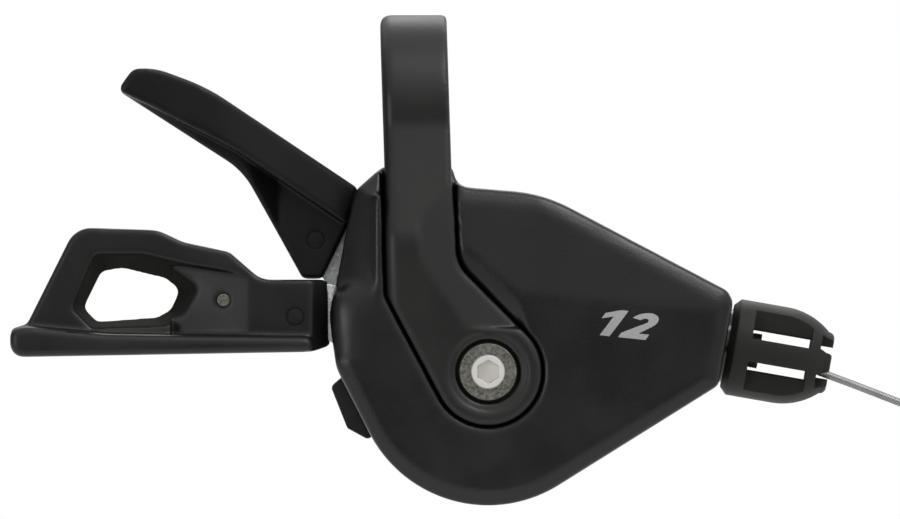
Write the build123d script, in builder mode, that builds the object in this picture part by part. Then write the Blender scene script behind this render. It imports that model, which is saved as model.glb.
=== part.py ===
from build123d import *
import os
from math import acos, atan2, cos, degrees, hypot, pi, radians, sin, tan

# Trigger gear shifter for a straight handlebar, in millimetres.
# The origin lies on the handlebar axis in the middle of the clamp band. +X runs along the bar towards the
# cable exit, +Z points up, and -Y points to the side that carries the clamp bolt.
# Depths are measured from the bar axis towards that side, so a depth d lies at Y = -d.

# Clearances
pass_gap = 0.3  # between bodies that move past each other
layer_gap = 0.2  # between flat layers of the mechanism
running_gap = 0.05  # radial play of a hole on its shaft

# Handlebar clamp
bar_radius = 11.1
band_wall = 2.9
band_width = 9.95
band_shift = 0.15  # of the band's middle at the height of the bar axis
band_sweep = 225  # degrees of bar that the band holds, from its front over the top
eye_radius = 7.7
eye_step_radius = 6.2
eye_step_depth = 0.4
eye_recess_radius = 4.95
eye_recess_depth = 1.5
arm_lean = 1.85  # degrees that the band leans from its top to the eye
arm_knee = 20.0  # below the bar axis, where the arm reaches its full depth
arm_flare_angle = 45  # degrees, slope of the arm's right edge into the eye
arm_facet_fall = 1.1  # fall of the facet along the flare
band_round = 1.4  # along the left edge of the band
flare_round = 6.0
knee_round = 8.0
leg_round = 2.0
arm_heel_angle = 28  # degrees, slope of the arm's left edge into the eye

# Main axis of the levers and the drum, from the bar axis
axis_x = 11.05
axis_z = -40.05

# Clamp bolt and the hollow axle that it passes through
bolt_radius = 2.5
bolt_flange_radius = 4.3
bolt_flange_height = 0.9
bolt_hub_radius = 2.5
bolt_hub_height = 0.6
bolt_socket_flats = 3.1
bolt_socket_depth = 2.0
bolt_tip = 0.5  # chamfer at the bolt's end
axle_radius = 4.5
axle_bore_gap = 0.15

# Pod, from the main axis
pod_face = 17.5  # depth of the cover's front
pocket_depth = 2.5
pocket_gap = 0.75  # between the arm and the walls of its channel
pocket_wall = 1.6
cover_wall = 1.8
bay_gap = 0.7  # between the pawls and the wall of the mechanism bay
bar_saddle_gap = 0.8
bowl_start = 209  # degrees, where the lower arc begins
bevel_width = 2.0
bevel_depth = 0.8
corner_radius = 2.4
brow_across = 8.3
brow_rise = 6.7  # heights from the top of the bowl's circle
shoulder_across = 4.9
shoulder_rise = 7.8
collar_start = 5.4
collar_end = 15.8
collar_rise = 10.9
temple_rise = 7.1
cheek_bulge = 1.5
jaw_bulge = 3.9
jaw_height = 8.6
chin_bulge = 2.7
chin_height = 0.5
nose_round = 0.9
brow_round = 22.0
cheek_round = 16.0
jaw_round = 4.0
chin_round = 5.0
nose_above = 6.7
nose_below = 6.05
nose_lean = 0.8  # how far the top corner of the nose leans back
nose_rise = 1.6
facet_angle = 6.4  # degrees, tilt of the upper front facet
valley_fall = 1.9  # depth of the valley beside the arm
cheek_fall = 3.0  # fall of the cheek left of the arm
lever_gate_start = 123  # degrees, open side wall for the levers
lever_gate_end = 224

# Layers of the mechanism
lever_plate_thickness = 1.4
ratchet_thickness = 1.4
drum_width = 4.2
spring_width = 1.2
base_plate_thickness = 1.5
return_spring_width = 1.6
return_bay_radius = 12.5
base_plate_inset = 0.6
rear_floor = 1.2
lug_round = 0.8
plate_round = 1.0

# Drum and ratchets
wire_radius = 0.6
groove_radius = 9.14
groove_width = 1.8
drum_radius = 11.2
drum_hub_radius = 5.7
tooth_count = 17
ratchet_tip_radius = 12.2
tooth_height = 1.3
tooth_steep = 0.12  # share of the pitch that the steep face takes
nipple_radius = 2.2
nipple_length = 2.6
nipple_seat = 0.4
main_ring_radius = 9.0
release_ring_radius = 10.4
release_bush_wall = 1.2
main_bush_wall = 1.1

# Pawls
pawl_eye_radius = 2.4
pawl_eye_gap = 0.6  # between the ratchet's tips and the pawl's eye
pawl_reach = 28  # degrees from the pivot to the tip
pawl_pin_radius = 1.2
pawl_nose = 1.6
pin_head_radius = 1.9
pin_head_height = 0.5
drive_pawl_angle = 172
hold_pawl_angle = 285

# Springs
spring_strip = 0.6
return_spring_turns = 4
lever_spring_turns = 2
lever_spring_radius = 9.5
release_spring_radius = 11.0

# Cable line and barrel adjuster
cable_tilt = 9.9  # degrees below the horizontal
barrel_distance = 35.1  # from the drum's tangent point along the cable
barrel_length = 15.8
barrel_radius = 7.35
barrel_bore = 5.1
barrel_end_radius = 4.7
barrel_chamfer = 1.0
barrel_collar = 3.4
barrel_mouth = 3.4  # behind the cage
barrel_dome = 7.8
barrel_rib_width = 3.5  # front and back ribs
barrel_web_width = 8.2  # broad ribs above and below
barrel_end_round = 0.9
barrel_socket_radius = 2.7
neck_gap = 0.55  # between the nose and the barrel
neck_radius = 5.6
neck_sink = 0.6  # of the neck's collar into the barrel's end
neck_tube_radius = 3.6
neck_depth = 7.0
screw_radius = 2.6
screw_bore = 0.95
screw_front = 4.9
screw_travel = 1.5
notch_depth = 1.9
notch_width = 2.6
notch_angle = 35  # degrees from the front and back ribs

# Thumb pads
pad_back = 8.6
pad_front = 14.4
flange_front = 19.0
rivet_place = (-40.0, 10.8)
rivet_radius = 0.95
rivet_rise = 0.1
window_round = 1.2
lip_round = 0.9
body_low = (-36.0, 4.5)  # edge where the main pad's body starts to fall towards the window
body_high = (-36.0, 14.3)
body_fall = 0.2  # for each millimetre
pad_recess = 10.0  # length of the falling face
limb_low = (-38.8, 15.1)
limb_end = (-46.2, 16.3)
recess_end = -48.0
parting_end = (-43.8, 14.6)
parting_fall = 0.6
end_start = -26.8  # where the pad's inner end starts to slant
end_fall = 2.2
mark_radius = 1.35
mark_width = 0.35
main_mark_place = (-29.1, 8.4)
release_mark_place = (-26.2, 20.0)
blade_back = 0.6
blade_corner = 0.6

# Rear housing screws
screw_shank_radius = 1.0
screw_head_radius = 1.9
screw_head_height = 1.2
cover_screw_depth = 6.0
screw_slot = 0.6
screw_cross = 2.3

# Shift wire, bare beyond the barrel, and its coil
wire_bend_distance = 7.4  # inside the barrel
wire_fall = 21.2  # degrees below the horizontal
wire_run = 43.0
wire_bend_run = 4.0
coil_radius = 10.8
coil_bundle_radius = 3.7
tie_gap = 0.3
tie_wall = 0.8
tie_width = 3.0
tie_angle = 200

# Depth of each layer, worked out from the cover's front to the back
pocket_floor = pod_face - pocket_depth
ceiling = pocket_floor - pocket_wall
main_spring_front = ceiling - layer_gap
main_plate_front = main_spring_front - spring_width - layer_gap
main_plate_back = main_plate_front - lever_plate_thickness
ratchet_front = main_plate_back - layer_gap
drum_front = ratchet_front - ratchet_thickness
drum_back = drum_front - drum_width
cable_depth = (drum_front + drum_back) / 2
hold_back = drum_back - ratchet_thickness
release_plate_front = hold_back - layer_gap
release_plate_back = release_plate_front - lever_plate_thickness
release_spring_front = release_plate_back - layer_gap
base_front = release_spring_front - spring_width - layer_gap
base_back = base_front - base_plate_thickness
return_spring_front = base_back - layer_gap
return_spring_back = return_spring_front - return_spring_width
rear_bay_floor = return_spring_back - layer_gap
pod_back = rear_bay_floor - rear_floor
arm_back = pocket_floor + pass_gap
arm_front = arm_back + band_wall
leg_front = pod_back - pass_gap
leg_back = leg_front - band_wall
ring_middle = bar_radius + band_wall / 2
ratchet_root_radius = ratchet_tip_radius - tooth_height
pawl_pivot_radius = ratchet_tip_radius + pawl_eye_gap + pawl_eye_radius
bay_radius = pawl_pivot_radius + pawl_eye_radius + bay_gap
pod_radius = bay_radius + cover_wall
web_front = pad_back - 2 * layer_gap

# Planes
pod_plane = Plane(origin=(axis_x, 0, axis_z), x_dir=(1, 0, 0), z_dir=(0, -1, 0))
front_plane = Plane(origin=(0, 0, 0), x_dir=(1, 0, 0), z_dir=(0, -1, 0))
pod_top = Plane(origin=(axis_x, 0, axis_z + 3 * pod_radius), x_dir=(1, 0, 0), z_dir=(0, 0, -1))
side_plane = Plane(origin=(0, 0, 0), x_dir=(0, -1, 0), z_dir=(-1, 0, 0))

# Cable line: it leaves the top of the drum and falls gently towards the nose
cable_rise = groove_radius + pass_gap + wire_radius
cable_along = (cos(radians(cable_tilt)), -sin(radians(cable_tilt)))
cable_across = (sin(radians(cable_tilt)), cos(radians(cable_tilt)))


def cable_point(along, across=0):
    """Point of the pod plane at a distance along the cable line and across it."""
    return (
        cable_across[0] * (cable_rise + across) + cable_along[0] * along,
        cable_across[1] * (cable_rise + across) + cable_along[1] * along,
    )


def polar(radius, angle):
    """Point of the pod plane at a radius and an angle in degrees about the main axis."""
    return (radius * cos(radians(angle)), radius * sin(radians(angle)))


cable_plane = Plane(
    origin=(axis_x + cable_point(0)[0], -cable_depth, axis_z + cable_point(0)[1]),
    x_dir=(cable_along[0], 0, cable_along[1]),
    z_dir=(0, -1, 0),
)
cable_section = Plane(origin=cable_plane.origin, x_dir=(0, -1, 0), z_dir=cable_plane.x_dir)
nose_distance = barrel_distance - neck_gap
reach = 4 * pod_radius  # past the pod on every side

os.makedirs("parts", exist_ok=True)


def keep(piece, name):
    """Label a finished piece and write it to its own file."""
    piece.part.label = name
    export_step(piece.part, f"parts/{name}.step")


# Outline of the pod, shared by the cover, the base plate and the rear housing
nose_low = cable_point(nose_distance, -nose_below)
nose_high = cable_point(nose_distance, nose_above)
keel_angle = degrees(atan2(nose_low[1], nose_low[0]) - acos(pod_radius / hypot(*nose_low)))
brow = (brow_across, pod_radius + brow_rise)
shoulder = (-shoulder_across, pod_radius + shoulder_rise)
collar_right = (-collar_start, pod_radius + collar_rise)
collar_left = (-collar_end, pod_radius + collar_rise)
temple = (-pod_radius, pod_radius + temple_rise)
cheek = (-pod_radius - cheek_bulge, pod_radius)
jaw = (-pod_radius - jaw_bulge, jaw_height)
chin = (-pod_radius - chin_bulge, chin_height)
nose_top = (nose_high[0] - nose_lean, nose_high[1] + nose_rise)
with BuildSketch() as pod_outline:
    with BuildLine():
        bowl = CenterArc((0, 0), pod_radius, bowl_start, keel_angle + 360 - bowl_start)
        FilletPolyline(
            bowl @ 1,
            nose_low,
            nose_high,
            nose_top,
            brow,
            shoulder,
            collar_right,
            collar_left,
            temple,
            cheek,
            jaw,
            chin,
            bowl @ 0,
            radius=[
                nose_round,
                nose_round,
                nose_round,
                brow_round,
                corner_radius,
                nose_round,
                corner_radius,
                corner_radius,
                cheek_round,
                jaw_round,
                chin_round,
            ],
        )
    make_face()


def facet(region, first, second, third):
    """Space in front of a plane through three points (across, up, depth), within a region of the pod."""
    corners = [pod_plane.from_local_coords(point) for point in (first, second, third)]
    along = corners[1] - corners[0]
    with BuildPart() as piece:
        with BuildSketch(pod_plane.offset(main_plate_back)):
            with BuildLine():
                Polyline(*region, close=True)
            make_face()
        extrude(amount=pod_face)
        split(
            bisect_by=Plane(origin=corners[0], x_dir=along, z_dir=along.cross(corners[2] - corners[0])),
            keep=Keep.TOP,
        )
    return piece


# Front silhouette of the clamp arm, from the bar axis: the leaning band, its flare and the eye
eye = (axis_x, axis_z)
lean = tan(radians(arm_lean))
ring_top = bar_radius + band_wall
band_top = 2 * ring_top


def band_edge(side, up):
    """Place of the band's left (-1) or right (1) edge at a height."""
    return band_shift + side * band_width / 2 - up * lean


def arm_corner(touch, angle, side):
    """Corner between an edge of the band and the slope that touches the eye."""
    slope = 1 / tan(radians(angle))
    run = (touch[0] - band_edge(side, touch[1])) / (1 - slope * lean)
    return (touch[0] - run, touch[1] + run * slope)


flare_turn = radians(arm_flare_angle)
heel_turn = radians(arm_heel_angle)
flare_touch = (eye[0] + eye_radius * sin(flare_turn), eye[1] + eye_radius * cos(flare_turn))
heel_touch = (eye[0] - eye_radius * cos(heel_turn), eye[1] - eye_radius * sin(heel_turn))
with BuildSketch() as arm_outline:
    with BuildLine():
        FilletPolyline(
            (band_edge(-1, band_top), band_top),
            (band_edge(1, band_top), band_top),
            arm_corner(flare_touch, arm_flare_angle, 1),
            flare_touch,
            eye,
            heel_touch,
            arm_corner(heel_touch, arm_heel_angle, -1),
            radius=[0, 0, flare_round, 0, 0, 0, 0],
            close=True,
        )
    make_face()
    with Locations(eye):
        Circle(eye_radius)

# Side section of the strap: front arm, ring round the bar and rear leg
leg_middle = (leg_front + leg_back) / 2
arm_middle = (arm_back + arm_front) / 2
strap_end = axis_z - eye_radius - pocket_gap
ring_exit = (ring_middle * cos(radians(band_sweep)), ring_middle * sin(radians(band_sweep)))
leg_bend = (leg_middle, ring_exit[1] - (leg_middle - ring_exit[0]) / tan(radians(band_sweep - 180)))
with BuildSketch(side_plane) as strap_section:
    with BuildLine():
        FilletPolyline(
            (arm_middle, strap_end),
            (arm_middle, -arm_knee),
            (ring_middle, -band_wall),
            (ring_middle, 0),
            radius=knee_round,
        )
        CenterArc((0, 0), ring_middle, 0, band_sweep)
        FilletPolyline(ring_exit, leg_bend, (leg_middle, strap_end), radius=leg_round)
        offset(amount=band_wall / 2, side=Side.BOTH)
    make_face()

# Clamp band, with a facet along its flare
flare_high = (-10.6, 17.05)
flare_low = (-3.15, 6.25)
flare_edge = (-0.9, 12.9)
flare_facet = facet(
    [flare_high, flare_low, (reach, flare_low[1]), (reach, reach), (flare_high[0], reach)],
    (*flare_high, arm_front),
    (*flare_low, arm_front),
    (*flare_edge, arm_front - arm_facet_fall),
)
def on_outside(edge):
    """Whether an edge of the band lies on its outer surface, in front of the bar or above it."""
    place = edge.center()
    sink = min(max((-place.Z - band_wall) / (arm_knee - band_wall), 0), 1)
    strap_middle = ring_middle + sink * (arm_middle - ring_middle)
    return place.Y < ring_middle and hypot(place.Y, max(place.Z, 0)) > strap_middle


with BuildPart() as clamp_band:
    extrude(strap_section.sketch, amount=axis_x + 3 * eye_radius, both=True)
    with BuildSketch(front_plane.offset(2 * leg_back)):
        add(arm_outline.sketch)
    extrude(amount=2 * (arm_front - leg_back), mode=Mode.INTERSECT)
    left_faces = clamp_band.faces().filter_by(lambda side: side.normal_at().X < -cos(heel_turn))
    left_face = left_faces.sort_by(SortBy.AREA)[-1]
    fillet(left_face.edges().filter_by(on_outside), band_round)
    add(flare_facet.part, mode=Mode.SUBTRACT)
    with BuildSketch(pod_plane.offset(arm_front)):
        Circle(eye_step_radius)
    extrude(amount=-eye_step_depth, mode=Mode.SUBTRACT)
    with BuildSketch(pod_plane.offset(arm_front)):
        Circle(eye_recess_radius)
    extrude(amount=-eye_recess_depth, mode=Mode.SUBTRACT)
    with BuildSketch(pod_plane.offset(arm_front)):
        Circle(bolt_radius + axle_bore_gap)
    extrude(amount=-band_wall, mode=Mode.SUBTRACT)
    with BuildSketch(pod_plane.offset(leg_front)):
        Circle(bolt_radius + running_gap)
    extrude(amount=-band_wall, mode=Mode.SUBTRACT)
keep(clamp_band, "clamp_band")

# Clamp bolt: flanged head with a raised hub and a hexagon socket
bolt_seat = arm_front - eye_recess_depth
with BuildPart() as clamp_bolt:
    with BuildSketch(pod_plane.offset(bolt_seat)):
        Circle(bolt_flange_radius)
    extrude(amount=bolt_flange_height)
    with BuildSketch(pod_plane.offset(bolt_seat + bolt_flange_height)):
        Circle(bolt_hub_radius)
    extrude(amount=bolt_hub_height)
    with BuildSketch(pod_plane.offset(bolt_seat)):
        Circle(bolt_radius)
    extrude(amount=leg_back - bolt_seat)
    with BuildSketch(pod_plane.offset(bolt_seat + bolt_flange_height + bolt_hub_height)):
        RegularPolygon(bolt_socket_flats / 2, 6, major_radius=False, rotation=30)
    extrude(amount=-bolt_socket_depth, mode=Mode.SUBTRACT)
    chamfer(clamp_bolt.edges().group_by(Axis.Y)[-1], bolt_tip)
keep(clamp_bolt, "clamp_bolt")

# Hollow main axle, held between the arm's eye and the rear leg
with BuildPart() as main_axle:
    with BuildSketch(pod_plane.offset(leg_front)):
        Circle(axle_radius)
        Circle(bolt_radius + axle_bore_gap, mode=Mode.SUBTRACT)
    extrude(amount=arm_back - leg_front)
keep(main_axle, "main_axle")

# Space that the arm needs in front of the cover, with a gap all round
with BuildPart() as arm_channel:
    with BuildSketch(front_plane):
        add(arm_outline.sketch)
        offset(amount=pocket_gap, kind=Kind.ARC)
    extrude(amount=pod_face * 2)
    with BuildSketch(side_plane):
        with BuildLine():
            Polyline(
                (arm_back - pass_gap, strap_end - eye_radius),
                (arm_back - pass_gap, -arm_knee - pocket_gap),
                (bar_radius - pass_gap, -band_wall),
                (bar_radius - pass_gap, ring_top * 2),
                (pod_face * 3, ring_top * 2),
                (pod_face * 3, strap_end - eye_radius),
                close=True,
            )
        make_face()
    extrude(amount=axis_x + 4 * eye_radius, both=True, mode=Mode.INTERSECT)

# Bar with room to spare, which every piece of the pod stays clear of
with BuildPart() as bar_saddle:
    with BuildSketch(side_plane):
        Circle(bar_radius + bar_saddle_gap)
    extrude(amount=axis_x + nose_distance, both=True)

# Cover: moulded front shell with a faceted face, the mechanism bay and the open side for the levers
screw_places = [(24.0, -2.5), (27.0, 11.5), (-6.5, 23.5)]
# Front of the cover: a crease with a facet above it, a valley beside the arm and a cheek on its other side
crease_left = (3.9, 12.0)
crease_right = (35.5, 9.1)
valley_top = (-5.1, 20.0)
valley_low = (-2.6, 11.4)
cheek_low = (-17.1, 13.5)
cheek_high = (-17.1, reach)
crease_angle = atan2(crease_right[1] - crease_left[1], crease_right[0] - crease_left[0])


def facet_depth(place):
    """Depth of the upper facet, which falls away from the crease."""
    across = (place[1] - crease_left[1]) * cos(crease_angle) - (place[0] - crease_left[0]) * sin(crease_angle)
    return pod_face - max(across, 0) * tan(radians(facet_angle))


upper_facet = facet(
    [valley_top, crease_left, crease_right, (reach, crease_right[1]), (reach, reach), (-pod_radius, reach)],
    (*crease_left, pod_face),
    (*crease_right, pod_face),
    (*valley_top, facet_depth(valley_top)),
)
valley = facet(
    [
        crease_left,
        valley_top,
        (valley_top[0] - eye_radius, valley_top[1]),
        (-eye_radius / 2, 0),
        (eye_radius, 0),
    ],
    (*crease_left, pod_face),
    (*valley_top, facet_depth(valley_top)),
    (*valley_low, pod_face - valley_fall),
)
cheek_facet = facet(
    [cheek_low, cheek_high, (-reach, reach), (-reach, 0)],
    (*cheek_low, pod_face - bevel_depth),
    (*cheek_high, pod_face - bevel_depth),
    (*cheek, pod_face - cheek_fall),
)


def edge_bevel(start, end):
    """Bevel along a straight edge of the pod, from start to end with the pod on the left."""
    length = hypot(end[0] - start[0], end[1] - start[1])
    along = ((end[0] - start[0]) / length, (end[1] - start[1]) / length)
    inner_start = (start[0] - along[1] * bevel_width, start[1] + along[0] * bevel_width)
    inner_end = (end[0] - along[1] * bevel_width, end[1] + along[0] * bevel_width)
    before = (inner_start[0] - along[0] * reach, inner_start[1] - along[1] * reach)
    after = (inner_end[0] + along[0] * reach, inner_end[1] + along[1] * reach)
    outside = (along[1] * reach, -along[0] * reach)
    return facet(
        [
            after,
            before,
            (before[0] + outside[0], before[1] + outside[1]),
            (after[0] + outside[0], after[1] + outside[1]),
        ],
        (*inner_end, facet_depth(inner_end)),
        (*inner_start, facet_depth(inner_start)),
        (*start, facet_depth(inner_start) - bevel_depth),
    )


# Bevel along the bowl of the pod
bowl_plane = Plane(
    origin=pod_plane.origin,
    x_dir=(cos(radians(bowl_start)), 0, sin(radians(bowl_start))),
    z_dir=pod_plane.x_dir,
)
with BuildPart() as bowl_bevel:
    with BuildSketch(bowl_plane):
        with BuildLine():
            Polyline(
                (pod_radius - bevel_width, pod_face),
                (pod_radius + bevel_width, pod_face - 2 * bevel_depth),
                (pod_radius + bevel_width, pod_face + bevel_depth),
                (pod_radius - bevel_width, pod_face + bevel_depth),
                close=True,
            )
        make_face()
    revolve(axis=Axis(pod_plane.origin, pod_plane.z_dir), revolution_arc=keel_angle + 360 - bowl_start)

bowl_end = polar(pod_radius, keel_angle)
bowl_front = polar(pod_radius, bowl_start)
bevelled_edges = [
    (bowl_end, nose_low),
    (nose_low, nose_high),
    (nose_high, nose_top),
    (nose_top, brow),
    (brow, shoulder),
    (jaw, chin),
    (chin, bowl_front),
]
with BuildPart() as cover:
    with BuildSketch(pod_plane.offset(base_front)):
        add(pod_outline.sketch)
    extrude(amount=pod_face - base_front)
    add(upper_facet.part, mode=Mode.SUBTRACT)
    add(valley.part, mode=Mode.SUBTRACT)
    add(cheek_facet.part, mode=Mode.SUBTRACT)
    add(bowl_bevel.part, mode=Mode.SUBTRACT)
    for edge in bevelled_edges:
        add(edge_bevel(*edge).part, mode=Mode.SUBTRACT)
    add(arm_channel.part, mode=Mode.SUBTRACT)
    add(bar_saddle.part, mode=Mode.SUBTRACT)
    with BuildSketch(pod_plane.offset(base_front)):
        Circle(bay_radius)
    extrude(amount=ceiling - base_front, mode=Mode.SUBTRACT)
    with BuildSketch(pod_plane.offset(base_front)):
        with BuildLine():
            gate = CenterArc((0, 0), bay_radius * 2, lever_gate_start, lever_gate_end - lever_gate_start)
            Polyline(gate @ 1, (0, 0), gate @ 0)
        make_face()
    extrude(amount=main_plate_front + layer_gap - base_front, mode=Mode.SUBTRACT)
    with BuildSketch(pod_plane.offset(ceiling)):
        Circle(axle_radius + running_gap)
    extrude(amount=pocket_wall, mode=Mode.SUBTRACT)
    with BuildSketch(cable_section):
        Circle(neck_tube_radius)
    extrude(amount=nose_distance, mode=Mode.SUBTRACT)
    with BuildSketch(pod_plane.offset(base_front)):
        with Locations(*screw_places):
            Circle(screw_shank_radius)
    extrude(amount=cover_screw_depth, mode=Mode.SUBTRACT)
keep(cover, "cover")

# Base plate: steel, between the cover and the rear housing
lug_corners = [(-21.6, -0.4), (-23.8, -2.3), (-21.3, -8.6), (-18.0, -10.4), (-16.4, -8.2), (-19.4, -1.6)]
release_bush_radius = drum_hub_radius + pass_gap + release_bush_wall
with BuildPart() as base_plate:
    with BuildSketch(pod_plane.offset(base_back)):
        add(pod_outline.sketch)
        offset(amount=-base_plate_inset)
        Circle(release_bush_radius, mode=Mode.SUBTRACT)
        with Locations(polar(pawl_pivot_radius, hold_pawl_angle)):
            Circle(pawl_pin_radius, mode=Mode.SUBTRACT)
        with Locations(*screw_places):
            Circle(screw_shank_radius + running_gap, mode=Mode.SUBTRACT)
        with BuildLine():
            Polyline(*lug_corners, close=True)
        make_face(mode=Mode.SUBTRACT)
    extrude(amount=base_plate_thickness)
    add(bar_saddle.part, mode=Mode.SUBTRACT)
keep(base_plate, "base_plate")

# Rear housing: moulded back with the spring bay, the screw seats and the stop lug beside the levers
with BuildPart() as rear_housing:
    with BuildSketch(pod_plane.offset(pod_back)):
        add(pod_outline.sketch)
    extrude(amount=base_back - pod_back)
    chamfer(rear_housing.faces().sort_by(Axis.Y)[-1].outer_wire().edges(), bevel_depth)
    with BuildSketch(pod_plane.offset(pod_back)):
        with BuildLine():
            FilletPolyline(*lug_corners, radius=lug_round, close=True)
        make_face()
    extrude(amount=main_plate_back - 2 * layer_gap - pod_back)
    with BuildSketch(pod_plane.offset(base_back)):
        Circle(return_bay_radius)
    extrude(amount=rear_bay_floor - base_back, mode=Mode.SUBTRACT)
    with BuildSketch(pod_plane.offset(pod_back)):
        Circle(axle_radius + running_gap)
        with Locations(*screw_places):
            Circle(screw_shank_radius + running_gap)
    extrude(amount=base_back - pod_back, mode=Mode.SUBTRACT)
    with BuildSketch(pod_plane.offset(pod_back)):
        with Locations(*screw_places):
            Circle(screw_head_radius + running_gap)
    extrude(amount=screw_head_height, mode=Mode.SUBTRACT)
    add(bar_saddle.part, mode=Mode.SUBTRACT)
keep(rear_housing, "rear_housing")

# Screws that hold the rear housing and the base plate to the cover
with BuildPart() as cover_screws:
    with BuildSketch(pod_plane.offset(pod_back)):
        with Locations(*screw_places):
            Circle(screw_head_radius)
    extrude(amount=screw_head_height)
    with BuildSketch(pod_plane.offset(pod_back + screw_head_height)):
        with Locations(*screw_places):
            Circle(screw_shank_radius)
    extrude(amount=base_front + cover_screw_depth - pod_back - screw_head_height)
    with BuildSketch(pod_plane.offset(pod_back)):
        with Locations(*screw_places):
            Rectangle(screw_cross, screw_slot)
            Rectangle(screw_slot, screw_cross)
    extrude(amount=screw_head_height / 2, mode=Mode.SUBTRACT)
keep(cover_screws, "cover_screws")


def ring(front, back, outer, inner):
    """Plain ring about the main axis between two depths."""
    with BuildPart() as piece:
        with BuildSketch(pod_plane.offset(back)):
            Circle(outer)
            Circle(inner, mode=Mode.SUBTRACT)
        extrude(amount=front - back)
    return piece


# Bush that the release lever turns on, pressed into the base plate
release_bush = ring(release_plate_front, base_back, release_bush_radius, drum_hub_radius + pass_gap)
keep(release_bush, "release_bush")

# Bush of the main lever, running on the axle
hub_bore = axle_radius + running_gap
main_bush_radius = hub_bore + main_bush_wall
main_lever_bush = ring(main_spring_front - layer_gap, main_plate_back, main_bush_radius, hub_bore)
keep(main_lever_bush, "main_lever_bush")

# Thrust washer between the main lever plate and the ratchet wheel
thrust_washer = ring(main_plate_back, ratchet_front + running_gap, main_bush_radius, hub_bore)
keep(thrust_washer, "thrust_washer")


def ratchet(front, back, bore):
    """Saw-toothed wheel about the main axis; each tooth has a steep face and a long back."""
    pitch = 360 / tooth_count
    steep = pitch * tooth_steep
    corners = []
    for tooth in range(tooth_count):
        corners.append(polar(ratchet_root_radius, tooth * pitch))
        corners.append(polar(ratchet_tip_radius, tooth * pitch + steep))
    with BuildPart() as piece:
        with BuildSketch(pod_plane.offset(back)):
            with BuildLine():
                Polyline(*corners, close=True)
            make_face()
            Circle(bore, mode=Mode.SUBTRACT)
        extrude(amount=front - back)
    return piece


# Ratchet wheels, one on each side of the drum
ratchet_wheel = ratchet(ratchet_front, drum_front, hub_bore)
keep(ratchet_wheel, "ratchet_wheel")
hold_wheel = ratchet(drum_back, hold_back, drum_hub_radius)
keep(hold_wheel, "hold_wheel")

# Cable drum with its groove, the nipple seat and the hub that reaches back to the return spring
nipple_angle = 90 - cable_tilt + degrees((nipple_radius + pass_gap) / cable_rise)
nipple_place = polar(cable_rise, nipple_angle)
with BuildPart() as cable_drum:
    with BuildSketch(pod_plane.offset(drum_back)):
        Circle(drum_radius)
    extrude(amount=drum_width)
    with BuildSketch(pod_plane.offset(cable_depth - groove_width / 2)):
        Circle(drum_radius)
        Circle(groove_radius, mode=Mode.SUBTRACT)
    extrude(amount=groove_width, mode=Mode.SUBTRACT)
    with BuildSketch(pod_plane.offset(return_spring_back)):
        Circle(drum_hub_radius)
    extrude(amount=drum_back - return_spring_back)
    with BuildSketch(pod_plane.offset(return_spring_back)):
        Circle(hub_bore)
    extrude(amount=drum_front - return_spring_back, mode=Mode.SUBTRACT)
    with BuildSketch(pod_plane.offset(drum_front)):
        with Locations(nipple_place):
            Circle(nipple_radius)
    extrude(amount=-nipple_length - nipple_seat, mode=Mode.SUBTRACT)
keep(cable_drum, "cable_drum")

# Nipple that ends the shift wire in the drum
with BuildPart() as cable_nipple:
    with BuildSketch(pod_plane.offset(drum_front - nipple_seat)):
        with Locations(nipple_place):
            Circle(nipple_radius)
    extrude(amount=-nipple_length)
keep(cable_nipple, "cable_nipple")


def pawl(pivot_angle, front, back):
    """Pawl with its eye on the pivot and its tip just clear of the ratchet's tip circle."""
    tip_angle = pivot_angle + pawl_reach
    tip_radius = ratchet_tip_radius + pass_gap
    pivot = polar(pawl_pivot_radius, pivot_angle)
    with BuildPart() as piece:
        with BuildSketch(pod_plane.offset(back)):
            with Locations(pivot):
                Circle(pawl_eye_radius)
            with BuildLine():
                Polyline(
                    polar(pawl_pivot_radius - pawl_eye_radius, pivot_angle),
                    polar(tip_radius, tip_angle),
                    polar(tip_radius + pawl_nose, tip_angle),
                    polar(pawl_pivot_radius + pawl_eye_radius, pivot_angle),
                    close=True,
                )
            make_face()
            Circle(tip_radius, mode=Mode.SUBTRACT)
            with Locations(pivot):
                Circle(pawl_pin_radius + running_gap, mode=Mode.SUBTRACT)
        extrude(amount=front - back)
    return piece


drive_pawl = pawl(drive_pawl_angle, ratchet_front, drum_front)
keep(drive_pawl, "drive_pawl")
hold_pawl = pawl(hold_pawl_angle, drum_back, hold_back)
keep(hold_pawl, "hold_pawl")


def pin(place, front, back, head_front, head_back):
    """Pin with a head, parallel to the main axis."""
    with BuildPart() as piece:
        with BuildSketch(pod_plane.offset(back)):
            with Locations(place):
                Circle(pawl_pin_radius)
        extrude(amount=front - back)
        with BuildSketch(pod_plane.offset(head_back)):
            with Locations(place):
                Circle(pin_head_radius)
        extrude(amount=head_front - head_back)
    return piece


# Pins of the pawls: one in the main lever plate, one in the base plate
drive_head = drum_front - layer_gap
drive_pin_place = polar(pawl_pivot_radius, drive_pawl_angle)
drive_pawl_pin = pin(drive_pin_place, main_plate_front, drive_head, drive_head, drive_head - pin_head_height)
keep(drive_pawl_pin, "drive_pawl_pin")
hold_head = drum_back + layer_gap
hold_pin_place = polar(pawl_pivot_radius, hold_pawl_angle)
hold_pawl_pin = pin(hold_pin_place, hold_head, base_back, hold_head + pin_head_height, hold_head)
keep(hold_pawl_pin, "hold_pawl_pin")

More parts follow.
